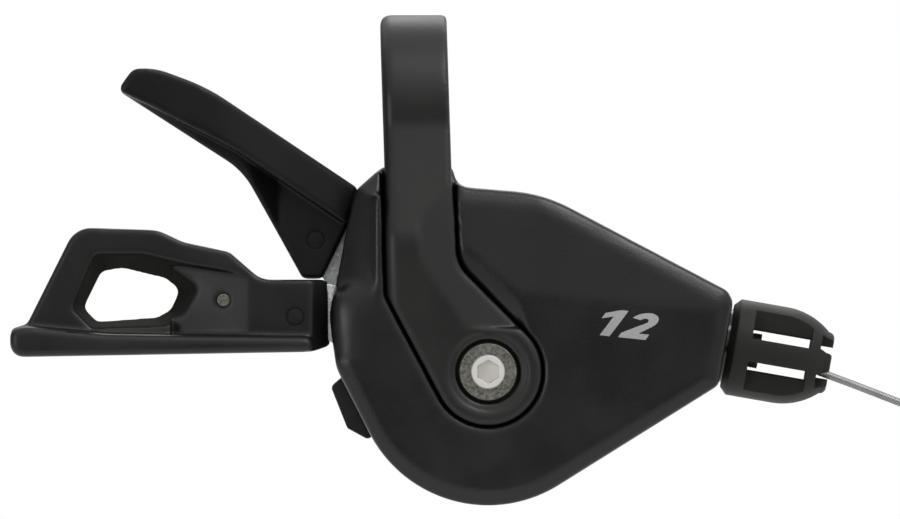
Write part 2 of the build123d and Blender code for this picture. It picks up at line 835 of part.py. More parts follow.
# Main lever plate: steel, from its ring on the axle out into the thumb pad
main_arm = [(-2, 8.4), (-24, 13.2), (-38, 13.2), (-42, 11.5), (-42, 9.0), (-36, 5.6), (-24, 4.6), (-6, -6.5)]
with BuildPart() as main_lever_plate:
    with BuildSketch(pod_plane.offset(main_plate_back)):
        with BuildLine():
            FilletPolyline(*main_arm, radius=plate_round, close=True)
        make_face()
        Circle(main_ring_radius)
        Circle(main_bush_radius, mode=Mode.SUBTRACT)
        with Locations(polar(pawl_pivot_radius, drive_pawl_angle)):
            Circle(pawl_pin_radius, mode=Mode.SUBTRACT)
        with Locations(rivet_place):
            Circle(rivet_radius, mode=Mode.SUBTRACT)
    extrude(amount=lever_plate_thickness)
keep(main_lever_plate, "main_lever_plate")

# Release lever plate: plated steel, from its ring on the bush out into the release pad
release_arm = [
    (-5, 8.8), (-20.4, 23.6), (-26.0, 27.6), (-30.6, 25.6), (-28.0, 18.0), (-23.4, 11.9), (-9, -4.5),
]
with BuildPart() as release_lever_plate:
    with BuildSketch(pod_plane.offset(release_plate_back)):
        with BuildLine():
            FilletPolyline(*release_arm, radius=plate_round, close=True)
        make_face()
        Circle(release_ring_radius)
        Circle(release_bush_radius + running_gap, mode=Mode.SUBTRACT)
    extrude(amount=lever_plate_thickness)
keep(release_lever_plate, "release_lever_plate")

# Main thumb pad: a moulded frame with a window, a body that falls towards it and a lip along the lower edge
pad_corners = [
    (-72.0, 6.4), (-69.6, 7.1), (-62.3, 21.7), (-50.0, 21.3), (-46.2, 19.5), (-39.2, 18.0),
    (-34.4, 13.8), (-24.3, 13.8), (-24.0, 4.0), (-26.6, 3.1), (-72.0, 2.3),
]
pad_rounds = [0.6, 1.2, 3.8, 5.0, 5.0, 1.5, 4.0, 0.8, 0.6, 2.0, 1.9]
pad_window = [
    (-55.6, 15.6), (-48.9, 14.0), (-46.9, 12.3), (-48.2, 9.4),
    (-50.1, 8.2), (-59.2, 7.5), (-61.2, 9.6), (-58.5, 15.0),
]
window_rim = [
    (-52.0, 17.9), (-46.6, 16.6), (-42.3, 12.9), (-44.4, 7.9),
    (-49.2, 6.8), (-60.0, 6.5), (-63.0, 9.6), (-59.6, 17.9),
]
lip_corners = [(-72.0, 6.4), (-69.4, 6.8), (-57.4, 5.6), (-26.6, 5.2), (-26.6, 3.1), (-72.0, 2.3)]
lip_rounds = [1.2, 1.2, 20.0, 1.0, 1.0, 1.9]
body_depth = pad_front - body_fall * pad_recess
body_face = facet(
    [body_low, body_high, limb_low, limb_end, (recess_end, limb_end[1]), (recess_end, body_low[1])],
    (*body_low, pad_front),
    (*body_high, pad_front),
    (body_low[0] - pad_recess, body_low[1], body_depth),
)
body_corner = facet(
    [body_low, parting_end, (recess_end, parting_end[1]), (recess_end, body_low[1])],
    (*body_low, pad_front),
    (*parting_end, pad_front - body_fall * (body_low[0] - parting_end[0])),
    (body_low[0] - pad_recess, body_low[1], body_depth - parting_fall),
)
pad_end = facet(
    [(end_start, 0), (0, 0), (0, pod_radius), (end_start, pod_radius)],
    (end_start, pod_radius, pad_front),
    (end_start, 0, pad_front),
    (pad_corners[7][0], 0, pad_front - end_fall),
)


def moulded_mark(place, front):
    """Shallow ring that the mould leaves on a pad."""
    with BuildPart() as piece:
        with BuildSketch(pod_plane.offset(front)):
            with Locations(place):
                Circle(mark_radius)
                Circle(mark_radius - mark_width, mode=Mode.SUBTRACT)
        extrude(amount=-mark_width / 2)
    return piece


with BuildPart() as pad_lip:
    with BuildSketch(pod_plane.offset(pad_back)):
        with BuildLine():
            FilletPolyline(*lip_corners, radius=lip_rounds, close=True)
        make_face()
    extrude(amount=flange_front - pad_back)
    fillet(pad_lip.faces().sort_by(Axis.Y)[0].edges(), lip_round)
main_mark = moulded_mark(main_mark_place, pad_front)
with BuildPart() as main_thumb_pad:
    with BuildSketch(pod_plane.offset(pad_back)):
        with BuildLine():
            FilletPolyline(*pad_corners, radius=pad_rounds, close=True)
        make_face()
    extrude(amount=pad_front - pad_back)
    with BuildSketch(pod_plane.offset(pad_back)):
        with BuildLine():
            FilletPolyline(*pad_window, radius=window_round, close=True)
        make_face()
    with BuildSketch(pod_plane.offset(pad_front)):
        with BuildLine():
            FilletPolyline(*window_rim, radius=window_round, close=True)
        make_face()
    loft(mode=Mode.SUBTRACT)
    add(body_face.part, mode=Mode.SUBTRACT)
    add(body_corner.part, mode=Mode.SUBTRACT)
    add(pad_end.part, mode=Mode.SUBTRACT)
    add(main_mark.part, mode=Mode.SUBTRACT)
    add(pad_lip.part)
    add(main_lever_plate.part, mode=Mode.SUBTRACT)
    with BuildSketch(pod_plane.offset(main_plate_back)):
        with Locations(rivet_place):
            Circle(rivet_radius)
    extrude(amount=pad_front - main_plate_back, mode=Mode.SUBTRACT)
keep(main_thumb_pad, "main_thumb_pad")

# Rivet that holds the thumb pad to its plate, just proud of the body's face
rivet_front = pad_front - body_fall * (body_low[0] - rivet_place[0]) + rivet_rise
with BuildPart() as main_lever_rivet:
    with BuildSketch(pod_plane.offset(main_plate_back)):
        with Locations(rivet_place):
            Circle(rivet_radius)
    extrude(amount=rivet_front - main_plate_back)
keep(main_lever_rivet, "main_lever_rivet")

# Release thumb pad: a blade that rises past the bar, with a flange along its upper edge
blade_corners = [
    (-55.8, 42.5), (-53.5, 45.7), (-50.1, 45.7), (-42.5, 42.9), (-19.8, 27.7),
    (-21.5, 21.7), (-25.2, 14.1), (-28.0, 14.1), (-37.0, 30.4),
]
blade_rounds = [0.8, 1.8, 10.0, 30.0, blade_corner, blade_corner, blade_corner, blade_corner, 12.0]
flange_corners = [
    (-55.8, 42.5), (-53.5, 45.7), (-50.1, 45.7), (-42.5, 42.9), (-19.8, 27.7),
    (-21.4, 22.3), (-37.9, 33.5), (-51.3, 40.4),
]
flange_rounds = [0.8, 1.8, 10.0, 30.0, blade_corner, blade_corner, 20.0, blade_corner]
# Plans of the blade as (along, depth): it starts behind the main lever and sweeps out in front of the bar
blade_sweep = [(-19.0, blade_back), (-27.5, blade_back), (-32.0, 5.2), (-37.5, 12.0), (-57.0, 13.0)]
web_plan = [*blade_sweep, (-57.0, 16.0), (-42.0, 15.4), (-36.5, 13.4), (-31.5, web_front), (-19.0, web_front)]
web_rounds = [blade_corner, 2.0, 6.0, 6.0, blade_corner, blade_corner, 8.0, 6.0, 2.0, blade_corner]
flange_plan = [*blade_sweep, (-57.0, 18.0), (-40.0, 17.5), (-30.0, 13.5), (-19.0, 10.0)]
flange_plan_rounds = [blade_corner, 2.0, 6.0, 6.0, blade_corner, 1.5, 14.0, 14.0, blade_corner]


def blade(outline, rounds, plan, plan_rounds):
    """Solid with an outline seen from the front and a plan seen from above."""
    with BuildPart() as piece:
        with BuildSketch(pod_plane):
            with BuildLine():
                FilletPolyline(*outline, radius=rounds, close=True)
            make_face()
        extrude(amount=pod_face * 2)
        with BuildSketch(pod_top):
            with BuildLine():
                FilletPolyline(*plan, radius=plan_rounds, close=True)
            make_face()
        extrude(amount=pod_radius * 3, mode=Mode.INTERSECT)
    return piece


blade_web = blade(blade_corners, blade_rounds, web_plan, web_rounds)
blade_rim = blade(flange_corners, flange_rounds, flange_plan, flange_plan_rounds)
release_mark = moulded_mark(release_mark_place, web_front)
with BuildPart() as release_thumb_pad:
    add(blade_web.part)
    add(blade_rim.part)
    add(release_mark.part, mode=Mode.SUBTRACT)
    add(release_lever_plate.part, mode=Mode.SUBTRACT)
    add(bar_saddle.part, mode=Mode.SUBTRACT)
keep(release_thumb_pad, "release_thumb_pad")


def spiral(front, width, inner, outer, turns):
    """Flat spring strip wound about the main axis, from half circles with two centres in turn."""
    start = inner + pass_gap + spring_strip / 2
    growth = (outer - pass_gap - spring_strip / 2 - start) / (2 * turns)
    with BuildPart() as piece:
        with BuildSketch(pod_plane.offset(front)):
            with BuildLine():
                for half in range(2 * turns):
                    CenterArc((growth * (half % 2), 0), start + growth * half, 180 * (half % 2), 180)
                offset(amount=spring_strip / 2, side=Side.BOTH)
            make_face()
        extrude(amount=-width)
    return piece


# Springs: the drum's in the rear housing, the levers' beside their plates
drum_return_spring = spiral(
    return_spring_front, return_spring_width, drum_hub_radius, return_bay_radius, return_spring_turns
)
keep(drum_return_spring, "drum_return_spring")
main_lever_spring = spiral(
    main_spring_front, spring_width, main_bush_radius, lever_spring_radius, lever_spring_turns
)
keep(main_lever_spring, "main_lever_spring")
release_lever_spring = spiral(
    release_spring_front, spring_width, release_bush_radius, release_spring_radius, lever_spring_turns
)
keep(release_lever_spring, "release_lever_spring")

# Neck: a collar on the nose with a tube that the barrel turns on
cable_axis = Axis(cable_plane.origin, cable_plane.x_dir)
neck_end = barrel_distance + barrel_collar - pass_gap
with BuildPart() as adjuster_neck:
    with BuildSketch(cable_section.offset(nose_distance)):
        Circle(neck_radius)
    extrude(amount=neck_gap + neck_sink - pass_gap)
    with BuildSketch(cable_section.offset(nose_distance - neck_depth)):
        Circle(neck_tube_radius)
    extrude(amount=neck_end - nose_distance + neck_depth)
    with BuildSketch(cable_section.offset(nose_distance - neck_depth)):
        Circle(screw_radius + running_gap)
    extrude(amount=neck_end - nose_distance + neck_depth, mode=Mode.SUBTRACT)
keep(adjuster_neck, "adjuster_neck")

# Hollow adjuster screw, sliding in the neck with the wire through it
with BuildPart() as adjuster_screw:
    with BuildSketch(cable_section.offset(nose_distance - neck_depth + screw_travel)):
        Circle(screw_radius)
        Circle(screw_bore, mode=Mode.SUBTRACT)
    extrude(amount=neck_gap + neck_depth - screw_travel + screw_front)
keep(adjuster_screw, "adjuster_screw")

# Barrel: a domed cage of ribs on a collar, with a notched mouth for the cable housing
barrel_end = barrel_distance + barrel_length
dome_start = (barrel_end - barrel_dome, barrel_radius)
cage_end = barrel_end - barrel_mouth
dome_end = (barrel_end - barrel_end_round, barrel_end_radius)
mouth_edge = (barrel_end, barrel_end_radius - barrel_end_round)
with BuildPart() as adjuster_barrel:
    with BuildSketch(cable_plane):
        with BuildLine():
            Polyline(
                mouth_edge,
                (barrel_end, barrel_socket_radius),
                (cage_end, barrel_socket_radius),
                (cage_end, barrel_bore),
                (barrel_distance + barrel_collar, barrel_bore),
                (barrel_distance + barrel_collar, neck_tube_radius + running_gap),
                (barrel_distance + neck_sink, neck_tube_radius + running_gap),
                (barrel_distance + neck_sink, neck_radius + running_gap),
                (barrel_distance, neck_radius + running_gap),
                (barrel_distance, barrel_radius - barrel_chamfer),
                (barrel_distance + barrel_chamfer, barrel_radius),
                dome_start,
            )
            TangentArc(dome_start, dome_end, tangent=(1, 0))
            RadiusArc(dome_end, mouth_edge, barrel_end_round)
        make_face()
    revolve(axis=cable_axis)
    with BuildSketch(cable_section.offset(barrel_distance + barrel_collar)):
        Circle(barrel_radius + pass_gap)
        Rectangle(3 * barrel_radius, barrel_rib_width, mode=Mode.SUBTRACT)
        Rectangle(barrel_web_width, 3 * barrel_radius, mode=Mode.SUBTRACT)
    extrude(amount=cage_end - barrel_distance - barrel_collar, mode=Mode.SUBTRACT)
    with BuildSketch(cable_section.offset(barrel_end - notch_depth)):
        for angle in (notch_angle, 180 - notch_angle, 180 + notch_angle, -notch_angle):
            with PolarLocations(barrel_radius / 2, 1, start_angle=angle):
                Rectangle(barrel_radius, notch_width)
    extrude(amount=notch_depth, mode=Mode.SUBTRACT)
keep(adjuster_barrel, "adjuster_barrel")

# Shift wire: straight from the drum through the adjuster, then falling away to its coil
wire_turn = wire_fall - cable_tilt
wire_bend = (barrel_distance + wire_bend_distance, 0)
wire_heading = (cos(radians(wire_turn)), -sin(radians(wire_turn)))
coil_entry = (wire_bend[0] + wire_run * wire_heading[0], wire_bend[1] + wire_run * wire_heading[1])
wire_bend_radius = wire_bend_run / tan(radians(wire_turn / 2))
print("wire bend radius", round(wire_bend_radius, 1))
with BuildPart() as cable_wire:
    with BuildLine(cable_plane) as wire_route:
        FilletPolyline((0, 0), wire_bend, coil_entry, radius=[wire_bend_radius])
    with BuildSketch(cable_section):
        Circle(wire_radius)
    sweep(path=wire_route.wires()[0])
keep(cable_wire, "cable_wire")

# Coil of the spare wire, with its tie
coil_middle = (coil_entry[0] + coil_radius * wire_heading[1], coil_entry[1] - coil_radius * wire_heading[0])
coil_plane = Plane(origin=cable_plane.from_local_coords((*coil_middle, 0)), x_dir=(1, 0, 0), z_dir=(0, -1, 0))
with BuildPart(coil_plane) as cable_coil:
    Torus(coil_radius, coil_bundle_radius)
keep(cable_coil, "cable_coil")
tie_place = (coil_radius * cos(radians(tie_angle)), coil_radius * sin(radians(tie_angle)), 0)
tie_plane = Plane(
    origin=coil_plane.from_local_coords(tie_place),
    x_dir=(0, 1, 0),
    z_dir=(-sin(radians(tie_angle)), 0, cos(radians(tie_angle))),
)
with BuildPart() as coil_tie:
    with BuildSketch(tie_plane):
        Circle(coil_bundle_radius + tie_gap + tie_wall)
        Circle(coil_bundle_radius + tie_gap, mode=Mode.SUBTRACT)
    extrude(amount=tie_width / 2, both=True)
keep(coil_tie, "coil_tie")
wire_length = sum(edge.length for edge in wire_route.edges())
wire_volume = pi * wire_radius**2 * wire_length
print("wire length", round(wire_length, 1), "volume share", round(cable_wire.part.volume / wire_volume, 4))
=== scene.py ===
import bpy
import bmesh
import math
from mathutils import Matrix, Vector
from mathutils.bvhtree import BVHTree


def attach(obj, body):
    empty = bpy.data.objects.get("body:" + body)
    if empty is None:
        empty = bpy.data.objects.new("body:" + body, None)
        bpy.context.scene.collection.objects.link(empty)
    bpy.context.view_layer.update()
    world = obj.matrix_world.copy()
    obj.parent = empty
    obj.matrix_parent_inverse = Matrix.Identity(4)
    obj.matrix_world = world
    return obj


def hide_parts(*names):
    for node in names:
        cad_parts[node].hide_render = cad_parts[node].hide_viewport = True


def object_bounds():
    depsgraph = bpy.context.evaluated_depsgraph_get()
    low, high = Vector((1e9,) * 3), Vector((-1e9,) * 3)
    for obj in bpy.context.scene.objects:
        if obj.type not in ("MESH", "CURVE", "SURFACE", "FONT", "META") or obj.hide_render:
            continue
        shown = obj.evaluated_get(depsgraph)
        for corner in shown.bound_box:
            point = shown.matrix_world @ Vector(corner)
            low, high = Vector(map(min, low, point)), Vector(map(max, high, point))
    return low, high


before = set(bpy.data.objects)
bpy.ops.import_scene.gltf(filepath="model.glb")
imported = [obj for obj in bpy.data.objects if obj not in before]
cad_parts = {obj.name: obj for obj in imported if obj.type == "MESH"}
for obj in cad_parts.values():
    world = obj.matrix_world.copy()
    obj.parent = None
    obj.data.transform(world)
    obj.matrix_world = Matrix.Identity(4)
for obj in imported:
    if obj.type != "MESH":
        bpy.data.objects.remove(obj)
cad_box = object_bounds()
scene = bpy.context.scene

# Sizes in metres, in the part's own frame: the bar axis is X, the bolt side is -Y
MM = 0.001
PHOTO_WIDTH = 900
PHOTO_HEIGHT = 519
PIXELS_PER_MM = 6.6
PHOTO_ORIGIN = (415, 107)  # pixel of the bar axis, in the middle of the band
VIEW_DISTANCE = 2.0
SENSOR_WIDTH = 36.0

MAIN_AXIS = Vector((11.05, 0.0, -40.05)) * MM
COVER_FACE_Y = -17.5 * MM
CABLE_TILT = math.radians(9.9)

WIRE_DIAMETER = 1.2 * MM
WIRE_STRANDS = 8
WIRE_LAY = 5.4 * MM
WIRE_ROUTE = [  # control points, from inside the adjuster screw to the coil
    Vector((45.33, -6.7, -35.6)) * MM,
    Vector((54.64, -6.7, -37.47)) * MM,
    Vector((78.0, -7.2, -46.53)) * MM,
    Vector((88.5, -9.3, -50.6)) * MM,
]
COIL_MIDDLE = Vector((90.83, -6.7, -63.08)) * MM
COIL_RADIUS = 10.8 * MM
COIL_BUNDLE = 2.7 * WIRE_DIAMETER  # largest distance of a turn from the middle of the bundle
COIL_TURNS = 29
COIL_POINTS = 16  # a turn
COIL_START = 68.8  # degrees above +X, where the wire meets the coil

SCREW_END = Vector((52.23, -6.7, -37.04)) * MM
SCREW_RADIUS = 2.6 * MM
THREAD_PITCH = 0.4 * MM
THREAD_DEPTH = 0.14 * MM
THREAD_RINGS = 3

HUB_RADIUS = 2.56 * MM  # of the bolt, where its bright hub ends
HUB_BLEND = 0.04 * MM  # each side of it

MOULD_SWELL = 0.1 * MM  # makes good what the softening takes off
MOULD_WELD = 0.001 * MM
MOULD_SHARE = 0.4  # of the faces that a moulded copy keeps
ARM_TOP = -12 * MM  # where the arm of the band starts to widen
ARM_BLEND = 5 * MM  # length over which it widens
ARM_BACK = -8 * MM
ARM_SWELL = 0.3 * MM
BOLT_ROOM = 6 * MM  # radius kept free around the bolt
BOWL_RADIUS = 20.2 * MM
BOWL_BEVEL = 2.1 * MM  # width
BOWL_SLOPE = 0.4
BOWL_START = 212  # degrees
BOWL_END = 301
MARK_RADIUS = 1.3 * MM
MARK_DEPTH = 0.16 * MM
MARK_START_Y = -50 * MM  # in front of the pads
MAIN_MARK_PIXEL = (295.6, 315.7)
RELEASE_MARK_PIXEL = (315.0, 239.3)

# Boxes in millimetres: low corner and high corner, and how often and which way a zone is smoothed
CHEEK = ((-14, -20, -38), (-5.7, -5, -9), 300, False)
CHEEK_FOLD = ((-14, -20, -34), (-6.4, -5, -21), 80, True)
WINDOW = ((-52.5, -20, -34.2), (-32.5, -5, -21.5))
ZONE_FACING = 0.2  # depth of the normal, below which a point belongs to the front of a zone
ZONE_PASSES = 4  # of smoothing over the whole piece, after a zone
STEEPEST_FACE = 0.75  # depth of the normal, up to which a face counts as a wall of the window


def photo_point(pixel_x, pixel_y, depth_y):
    """Point of the part at a pixel of the photograph, in a plane across the view."""
    across = (pixel_x - PHOTO_ORIGIN[0]) / PIXELS_PER_MM
    up = (PHOTO_ORIGIN[1] - pixel_y) / PIXELS_PER_MM
    return Vector((across * MM, depth_y, up * MM))


def add_camera():
    """Long lens, square on to the bolt side."""
    camera = bpy.data.cameras.new("camera")
    camera.sensor_width = SENSOR_WIDTH
    camera.lens = SENSOR_WIDTH * VIEW_DISTANCE / (PHOTO_WIDTH / PIXELS_PER_MM * MM)
    camera.clip_end = 20.0
    holder = bpy.data.objects.new("camera", camera)
    target = photo_point(PHOTO_WIDTH / 2, PHOTO_HEIGHT / 2, COVER_FACE_Y / 2)
    holder.location = target + Vector((0, -VIEW_DISTANCE, 0))
    holder.rotation_euler = (math.pi / 2, 0, 0)
    scene.collection.objects.link(holder)
    scene.camera = holder


add_camera()


# Node trees

def add_node(tree, kind, values=None, **settings):
    """New node with its settings, its plain input values and the sockets linked to its inputs."""
    node = tree.nodes.new(kind)
    for name, value in settings.items():
        setattr(node, name, value)
    for name, value in (values or {}).items():
        if isinstance(value, bpy.types.NodeSocket):
            tree.links.new(value, node.inputs[name])
        else:
            node.inputs[name].default_value = value
    return node


def new_group(kind, name, inputs, outputs):
    """Empty node group with its named sockets, and its two end nodes."""
    group = bpy.data.node_groups.new(name, kind)
    for label, (socket_kind, value) in inputs.items():
        socket = group.interface.new_socket(label, in_out="INPUT", socket_type=socket_kind)
        if value is not None:
            socket.default_value = value
    for label, socket_kind in outputs.items():
        group.interface.new_socket(label, in_out="OUTPUT", socket_type=socket_kind)
    return group, add_node(group, "NodeGroupInput"), add_node(group, "NodeGroupOutput")


def maths(tree, operation, first, second=0.0):
    """Result of a sum on values or sockets."""
    return add_node(tree, "ShaderNodeMath", {0: first, 1: second}, operation=operation).outputs["Value"]


def make_grain_group():
    """Fine moulded or blasted texture: a height, and a slow mottle over the surface."""
    group, start, end = new_group(
        "ShaderNodeTree",
        "surface_grain",
        {"Grain Scale": ("NodeSocketFloat", 3000.0), "Mottle Scale": ("NodeSocketFloat", 90.0)},
        {"Height": "NodeSocketFloat", "Mottle": "NodeSocketFloat"},
    )
    place = add_node(group, "ShaderNodeTexCoord").outputs["Object"]
    fine = add_node(
        group,
        "ShaderNodeTexNoise",
        {"Vector": place, "Scale": start.outputs["Grain Scale"], "Detail": 3.0, "Roughness": 0.6},
    )
    slow = add_node(
        group, "ShaderNodeTexNoise", {"Vector": place, "Scale": start.outputs["Mottle Scale"], "Detail": 2.0}
    )
    group.links.new(fine.outputs["Fac"], end.inputs["Height"])
    group.links.new(slow.outputs["Fac"], end.inputs["Mottle"])
    return group


def make_edge_group():
    """Softly rounded edges: a bent normal, and a mask that is 1 on the edges, where the finishes paint a
    highlight or a shade.
    """
    group, start, end = new_group(
        "ShaderNodeTree",
        "rounded_edge",
        {"Radius": ("NodeSocketFloat", 0.3 * MM)},
        {"Normal": "NodeSocketVector", "Edge": "NodeSocketFloat"},
    )
    bevel = add_node(group, "ShaderNodeBevel", {"Radius": start.outputs["Radius"]}, samples=6)
    surface = add_node(group, "ShaderNodeNewGeometry")
    turned = add_node(
        group,
        "ShaderNodeVectorMath",
        {0: bevel.outputs["Normal"], 1: surface.outputs["Normal"]},
        operation="DOT_PRODUCT",
    )
    mask = add_node(
        group,
        "ShaderNodeMapRange",
        {"Value": turned.outputs["Value"], "From Min": 0.99, "From Max": 0.8, "To Min": 0.0, "To Max": 1.0},
    )
    group.links.new(bevel.outputs["Normal"], end.inputs["Normal"])
    group.links.new(mask.outputs["Result"], end.inputs["Edge"])
    return group


def make_fleck_group():
    """Crystalline flecks of a plated surface."""
    group, start, end = new_group(
        "ShaderNodeTree",
        "plating_flecks",
        {"Fleck Scale": ("NodeSocketFloat", 1600.0)},
        {"Fleck": "NodeSocketFloat", "Height": "NodeSocketFloat"},
    )
    place = add_node(group, "ShaderNodeTexCoord").outputs["Object"]
    cells = add_node(group, "ShaderNodeTexVoronoi", {"Vector": place, "Scale": start.outputs["Fleck Scale"]})
    shade = add_node(group, "ShaderNodeSeparateColor", {"Color": cells.outputs["Color"]})
    group.links.new(shade.outputs["Red"], end.inputs["Fleck"])
    group.links.new(cells.outputs["Distance"], end.inputs["Height"])
    return group


grain_group = make_grain_group()
edge_group = make_edge_group()
fleck_group = make_fleck_group()


# Finishes

def grey(level):
    """Neutral colour of one level."""
    return (level, level, level)


def use_group(tree, group, values):
    """Place a shared effect in a material with its own values."""
    node = tree.nodes.new("ShaderNodeGroup")
    node.node_tree = group
    for name, value in values.items():
        node.inputs[name].default_value = value
    return node


def new_material(name):
    """Empty material, with its node tree and its shader."""
    material = bpy.data.materials.new(name)
    material.use_nodes = True
    tree = material.node_tree
    return material, tree, tree.nodes["Principled BSDF"]


def blend_colour(tree, mask, first, second):
    """Colour between two colours or sockets, by a mask."""
    mix = add_node(tree, "ShaderNodeMix", data_type="RGBA")
    tree.links.new(mask, mix.inputs[0])
    for slot, colour in ((mix.inputs[6], first), (mix.inputs[7], second)):
        if isinstance(colour, bpy.types.NodeSocket):
            tree.links.new(colour, slot)
        else:
            slot.default_value = (*colour, 1)
    return mix.outputs[2]


def scaled(tree, value, low, high, from_low=0.3, from_high=0.7):
    """A value, from the range that a noise gives unless another is named, brought to a new range."""
    return add_node(
        tree,
        "ShaderNodeMapRange",
        {"Value": value, "From Min": from_low, "From Max": from_high, "To Min": low, "To Max": high},
    ).outputs["Result"]


def add_bump(tree, shader, height, depth, strength, normal):
    """Fine relief on the rounded normal of a finish."""
    bump = add_node(
        tree, "ShaderNodeBump", {"Strength": strength, "Distance": depth, "Height": height, "Normal": normal}
    )
    tree.links.new(bump.outputs["Normal"], shader.inputs["Normal"])


def grained_finish(name, dark, light, edge_highlight, roughness, grain_scale, grain_depth, edge_radius, specular=0.5):
    """Plastic or paint with a fine grain, a mottled gloss and a painted highlight on its edges."""
    material, tree, shader = new_material(name)
    grain = use_group(tree, grain_group, {"Grain Scale": grain_scale, "Mottle Scale": 120.0})
    rounded = use_group(tree, edge_group, {"Radius": edge_radius})
    mottle = scaled(tree, grain.outputs["Mottle"], 0.0, 1.0)
    body = blend_colour(tree, mottle, dark, light)
    # The edges take the edge colour, paler than the body: a painted highlight along the rounded edges.
    tree.links.new(blend_colour(tree, rounded.outputs["Edge"], body, edge_highlight), shader.inputs["Base Color"])
    gloss = scaled(tree, mottle, roughness - 0.05, roughness + 0.05, 0.0, 1.0)
    tree.links.new(gloss, shader.inputs["Roughness"])
    shader.inputs["Specular IOR Level"].default_value = specular
    add_bump(tree, shader, grain.outputs["Height"], grain_depth, 0.6, rounded.outputs["Normal"])
    return material


def metal_finish(name, dark, light, metallic, roughness, fleck_scale, fleck_depth, edge_radius):
    """Bare or plated metal with flecks in its colour and gloss."""
    material, tree, shader = new_material(name)
    flecks = use_group(tree, fleck_group, {"Fleck Scale": fleck_scale})
    rounded = use_group(tree, edge_group, {"Radius": edge_radius})
    fleck = flecks.outputs["Fleck"]
    tree.links.new(blend_colour(tree, fleck, dark, light), shader.inputs["Base Color"])
    gloss = scaled(tree, fleck, roughness - 0.08, roughness + 0.08, 0.0, 1.0)
    tree.links.new(gloss, shader.inputs["Roughness"])
    shader.inputs["Metallic"].default_value = metallic
    add_bump(tree, shader, flecks.outputs["Height"], fleck_depth, 0.5, rounded.outputs["Normal"])
    return material


def bolt_finish(name):
    """Bright hub with painted shade on its edges, on a blasted grey flange, told apart by the distance from
    the bolt's axis.
    """
    material, tree, shader = new_material(name)
    place = add_node(tree, "ShaderNodeTexCoord").outputs["Object"]
    centred = add_node(tree, "ShaderNodeVectorMath", {0: place, 1: MAIN_AXIS}, operation="SUBTRACT")
    flat = add_node(
        tree, "ShaderNodeVectorMath", {0: centred.outputs["Vector"], 1: (1, 0, 1)}, operation="MULTIPLY"
    )
    out = add_node(tree, "ShaderNodeVectorMath", {0: flat.outputs["Vector"]}, operation="LENGTH")
    rim = scaled(tree, out.outputs["Value"], 0.0, 1.0, HUB_RADIUS - HUB_BLEND, HUB_RADIUS + HUB_BLEND)
    grain = use_group(tree, grain_group, {"Grain Scale": 2600.0, "Mottle Scale": 2200.0})
    rounded = use_group(tree, edge_group, {"Radius": 0.25 * MM})
    mottle = scaled(tree, grain.outputs["Mottle"], 0.0, 1.0)
    blasted = blend_colour(tree, mottle, (0.1, 0.1, 0.085), (0.26, 0.26, 0.23))
    # The hub's edges and the rim of its hex socket are painted dark grey: painted shade.
    hub_with_edge_shade = blend_colour(tree, rounded.outputs["Edge"], (0.95, 0.93, 0.89), (0.3, 0.29, 0.27))
    tree.links.new(blend_colour(tree, rim, hub_with_edge_shade, blasted), shader.inputs["Base Color"])
    tree.links.new(scaled(tree, rim, 0.3, 0.5, 0.0, 1.0), shader.inputs["Roughness"])
    tree.links.new(scaled(tree, rim, 0.3, 1.0, 0.0, 1.0), shader.inputs["Metallic"])
    relief = maths(tree, "MULTIPLY", grain.outputs["Height"], rim)
    add_bump(tree, shader, relief, 0.05 * MM, 0.4, rounded.outputs["Normal"])
    return material


def wire_finish(name):
    """Drawn steel strands, with painted shade in the grooves between them."""
    material, tree, shader = new_material(name)
    groove_painted_shade = add_node(tree, "ShaderNodeAttribute", attribute_name="groove_painted_shade").outputs["Fac"]
    grain = use_group(tree, grain_group, {"Grain Scale": 3000.0, "Mottle Scale": 700.0})
    mottle = scaled(tree, grain.outputs["Mottle"], 0.0, 1.0)
    strand = blend_colour(tree, mottle, grey(0.42), grey(0.54))
    depth = scaled(tree, groove_painted_shade, 0.0, 1.0, 0.25, 1.0)
    # The grooves are painted near black: painted shade between the strands.
    tree.links.new(blend_colour(tree, depth, strand, grey(0.05)), shader.inputs["Base Color"])
    shader.inputs["Metallic"].default_value = 0.6
    shader.inputs["Roughness"].default_value = 0.45
    return material
